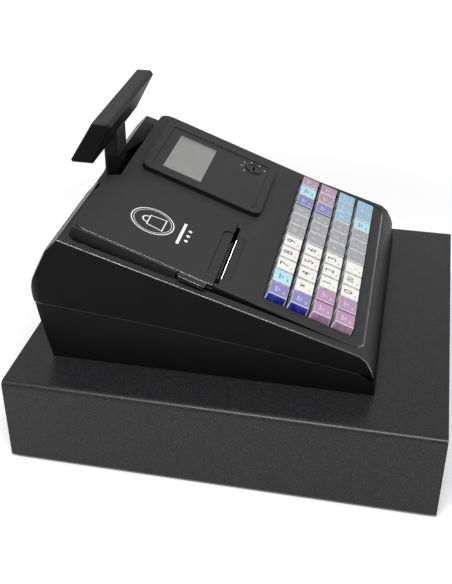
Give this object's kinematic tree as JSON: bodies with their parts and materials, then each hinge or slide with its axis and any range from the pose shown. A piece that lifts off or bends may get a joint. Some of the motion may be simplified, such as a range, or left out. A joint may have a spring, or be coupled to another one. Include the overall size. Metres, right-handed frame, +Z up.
{
  "type": "cash register",
  "caption": "Electronic cash register with keyboard, receipt printer cover, tilted operator display, raised customer display and a sliding cash drawer under it.",
  "frame": {"origin": "on the table, under the middle of the drawer unit", "axes": "+X is the operator's right, -Y the operator's side where the drawer opens, +Z up"},
  "size_m": [0.334, 0.36, 0.2678],
  "materials": {
    "case_plastic": "fine moulded texture",
    "dark_plastic": "moulded",
    "sheet_steel": "black powder coat",
    "plated_steel": "zinc plated",
    "brass": "machined",
    "rubber": "matt",
    "circuit_board": "solder mask",
    "paper": "thermal paper",
    "lcd": "reflective display",
    "clear_window": "clear polycarbonate",
    "gloss_black": "polished",
    "key_white": "clear cap over a white insert",
    "key_grey": "clear cap over a grey insert",
    "key_mauve": "clear cap over a mauve insert",
    "key_blue": "clear cap over a blue insert"
  },
  "bodies": {
    "base": {"housing_cover": "sheet_steel", "housing_base": "sheet_steel", "rail_left": "plated_steel", "rail_right": "plated_steel", "latch_solenoid": "plated_steel", "kick_spring": "plated_steel", "foot_front_left": "rubber", "foot_front_right": "rubber", "foot_rear_left": "rubber", "foot_rear_right": "rubber", "lower_case": "case_plastic", "upper_case": "case_plastic", "tear_bar": "plated_steel", "printer_frame": "dark_plastic", "print_head": "plated_steel", "feed_motor": "plated_steel", "cover_hinge_rod": "plated_steel", "key_switch_board": "circuit_board", "display_bezel": "case_plastic", "lcd_window": "clear_window", "lcd_panel": "lcd", "main_board": "circuit_board", "transformer": "plated_steel", "power_jack": "dark_plastic"},
    "drawer": {"cash_drawer": "sheet_steel", "drawer_front": "sheet_steel", "till_insert": "dark_plastic", "lock_barrel": "plated_steel"},
    "cover": {"printer_cover": "case_plastic"},
    "mast": {"display_mast": "case_plastic"},
    "customer_display": {"display_head": "case_plastic", "display_head_window": "gloss_black"},
    "mode_lock": {"mode_rotor": "gloss_black"},
    "drawer_lock": {"lock_plug": "brass"},
    "bolt": {"latch_bolt": "plated_steel"},
    "roll": {"paper_roll": "paper"},
    "platen": {"platen_roller": "rubber", "platen_gear": "dark_plastic"},
    "pinion": {"motor_pinion": "brass"},
    "clip_1": {"bill_clip_1": "dark_plastic"},
    "clip_2": {"bill_clip_2": "dark_plastic"},
    "clip_3": {"bill_clip_3": "dark_plastic"},
    "clip_4": {"bill_clip_4": "dark_plastic"},
    "function_bank": {"function_keys": "key_mauve"},
    "department_bank": {"department_keys": "key_grey"},
    "payment_bank": {"payment_keys": "key_blue"},
    "total_key": {"key_total": "key_blue"},
    "key_7_cap": {"key_7": "key_white"},
    "key_8_cap": {"key_8": "key_white"},
    "key_9_cap": {"key_9": "key_white"},
    "key_multiply_cap": {"key_multiply": "key_white"},
    "key_4_cap": {"key_4": "key_white"},
    "key_5_cap": {"key_5": "key_white"},
    "key_6_cap": {"key_6": "key_white"},
    "key_1_cap": {"key_1": "key_white"},
    "key_2_cap": {"key_2": "key_white"},
    "key_3_cap": {"key_3": "key_white"},
    "key_0_cap": {"key_0": "key_white"},
    "key_00_cap": {"key_00": "key_white"},
    "key_point_cap": {"key_point": "key_white"}
  },
  "joints": [
    {"name": "drawer_slide", "type": "slide", "parent": "base", "child": "drawer", "axis": [0, -1, 0], "range_m": [0, 0.25]},
    {"name": "cover_hinge", "type": "hinge", "parent": "base", "child": "cover", "pos_m": [0, 0.12013, 0.19925], "axis": [-1, 0, 0], "range_deg": [0, 55]},
    {"name": "mast_slide", "type": "slide", "parent": "base", "child": "mast", "axis": [0, 0, 1], "range_m": [0, 0.02]},
    {"name": "display_swivel", "type": "hinge", "parent": "mast", "child": "customer_display", "pos_m": [0.008, 0.1275, 0.23], "axis": [0, 0, 1], "range_deg": [-75, 75]},
    {"name": "mode_turn", "type": "hinge", "parent": "base", "child": "mode_lock", "pos_m": [0.088, 0.01871, 0.16636], "axis": [0, -0.3528, 0.9357], "range_deg": [-90, 120]},
    {"name": "lock_turn", "type": "hinge", "parent": "drawer", "child": "drawer_lock", "pos_m": [0.118, -0.17, 0.047], "axis": [0, 1, 0], "range_deg": [0, 90]},
    {"name": "bolt_slide", "type": "slide", "parent": "base", "child": "bolt", "axis": [0, 0, 1], "range_m": [0, 0.005]},
    {"name": "paper_turn", "type": "hinge", "parent": "base", "child": "roll", "pos_m": [-0.067, 0.078, 0.156], "axis": [1, 0, 0], "continuous": true},
    {"name": "platen_turn", "type": "hinge", "parent": "cover", "child": "platen", "pos_m": [-0.067, 0.02616, 0.15794], "axis": [1, 0, 0], "continuous": true},
    {"name": "pinion_turn", "type": "hinge", "parent": "base", "child": "pinion", "pos_m": [-0.029, 0.03647, 0.15499], "axis": [1, 0, 0], "continuous": true},
    {"name": "clip_1_lift", "type": "hinge", "parent": "drawer", "child": "clip_1", "pos_m": [-0.11025, 0.116, 0.054], "axis": [-1, 0, 0], "range_deg": [0, 35], "stiffness_Nm_per_rad": 0.02, "springref_deg": -17.19},
    {"name": "clip_2_lift", "type": "hinge", "parent": "drawer", "child": "clip_2", "pos_m": [-0.03675, 0.116, 0.054], "axis": [-1, 0, 0], "range_deg": [0, 35], "stiffness_Nm_per_rad": 0.02, "springref_deg": -17.19},
    {"name": "clip_3_lift", "type": "hinge", "parent": "drawer", "child": "clip_3", "pos_m": [0.03675, 0.116, 0.054], "axis": [-1, 0, 0], "range_deg": [0, 35], "stiffness_Nm_per_rad": 0.02, "springref_deg": -17.19},
    {"name": "clip_4_lift", "type": "hinge", "parent": "drawer", "child": "clip_4", "pos_m": [0.11025, 0.116, 0.054], "axis": [-1, 0, 0], "range_deg": [0, 35], "stiffness_Nm_per_rad": 0.02, "springref_deg": -17.19},
    {"name": "function_press", "type": "slide", "parent": "base", "child": "function_bank", "axis": [0, 0.3528, -0.9357], "range_m": [0, 0.003], "stiffness_N_per_m": 600, "springref_m": -0.002},
    {"name": "department_press", "type": "slide", "parent": "base", "child": "department_bank", "axis": [0, 0.3528, -0.9357], "range_m": [0, 0.003], "stiffness_N_per_m": 800, "springref_m": -0.002},
    {"name": "payment_press", "type": "slide", "parent": "base", "child": "payment_bank", "axis": [0, 0.3528, -0.9357], "range_m": [0, 0.003], "stiffness_N_per_m": 700, "springref_m": -0.002},
    {"name": "total_press", "type": "slide", "parent": "base", "child": "total_key", "axis": [0, 0.3528, -0.9357], "range_m": [0, 0.003], "stiffness_N_per_m": 300, "springref_m": -0.002},
    {"name": "press_7", "type": "slide", "parent": "base", "child": "key_7_cap", "axis": [0, 0.3528, -0.9357], "range_m": [0, 0.003], "stiffness_N_per_m": 250, "springref_m": -0.002},
    {"name": "press_8", "type": "slide", "parent": "base", "child": "key_8_cap", "axis": [0, 0.3528, -0.9357], "range_m": [0, 0.003], "stiffness_N_per_m": 250, "springref_m": -0.002},
    {"name": "press_9", "type": "slide", "parent": "base", "child": "key_9_cap", "axis": [0, 0.3528, -0.9357], "range_m": [0, 0.003], "stiffness_N_per_m": 250, "springref_m": -0.002},
    {"name": "press_multiply", "type": "slide", "parent": "base", "child": "key_multiply_cap", "axis": [0, 0.3528, -0.9357], "range_m": [0, 0.003], "stiffness_N_per_m": 250, "springref_m": -0.002},
    {"name": "press_4", "type": "slide", "parent": "base", "child": "key_4_cap", "axis": [0, 0.3528, -0.9357], "range_m": [0, 0.003], "stiffness_N_per_m": 250, "springref_m": -0.002},
    {"name": "press_5", "type": "slide", "parent": "base", "child": "key_5_cap", "axis": [0, 0.3528, -0.9357], "range_m": [0, 0.003], "stiffness_N_per_m": 250, "springref_m": -0.002},
    {"name": "press_6", "type": "slide", "parent": "base", "child": "key_6_cap", "axis": [0, 0.3528, -0.9357], "range_m": [0, 0.003], "stiffness_N_per_m": 250, "springref_m": -0.002},
    {"name": "press_1", "type": "slide", "parent": "base", "child": "key_1_cap", "axis": [0, 0.3528, -0.9357], "range_m": [0, 0.003], "stiffness_N_per_m": 250, "springref_m": -0.002},
    {"name": "press_2", "type": "slide", "parent": "base", "child": "key_2_cap", "axis": [0, 0.3528, -0.9357], "range_m": [0, 0.003], "stiffness_N_per_m": 250, "springref_m": -0.002},
    {"name": "press_3", "type": "slide", "parent": "base", "child": "key_3_cap", "axis": [0, 0.3528, -0.9357], "range_m": [0, 0.003], "stiffness_N_per_m": 250, "springref_m": -0.002},
    {"name": "press_0", "type": "slide", "parent": "base", "child": "key_0_cap", "axis": [0, 0.3528, -0.9357], "range_m": [0, 0.003], "stiffness_N_per_m": 250, "springref_m": -0.002},
    {"name": "press_00", "type": "slide", "parent": "base", "child": "key_00_cap", "axis": [0, 0.3528, -0.9357], "range_m": [0, 0.003], "stiffness_N_per_m": 250, "springref_m": -0.002},
    {"name": "press_point", "type": "slide", "parent": "base", "child": "key_point_cap", "axis": [0, 0.3528, -0.9357], "range_m": [0, 0.003], "stiffness_N_per_m": 250, "springref_m": -0.002}
  ],
  "couplings": [
    {"joint": "pinion_turn", "follows": "platen_turn", "ratio": -1.6}
  ]
}
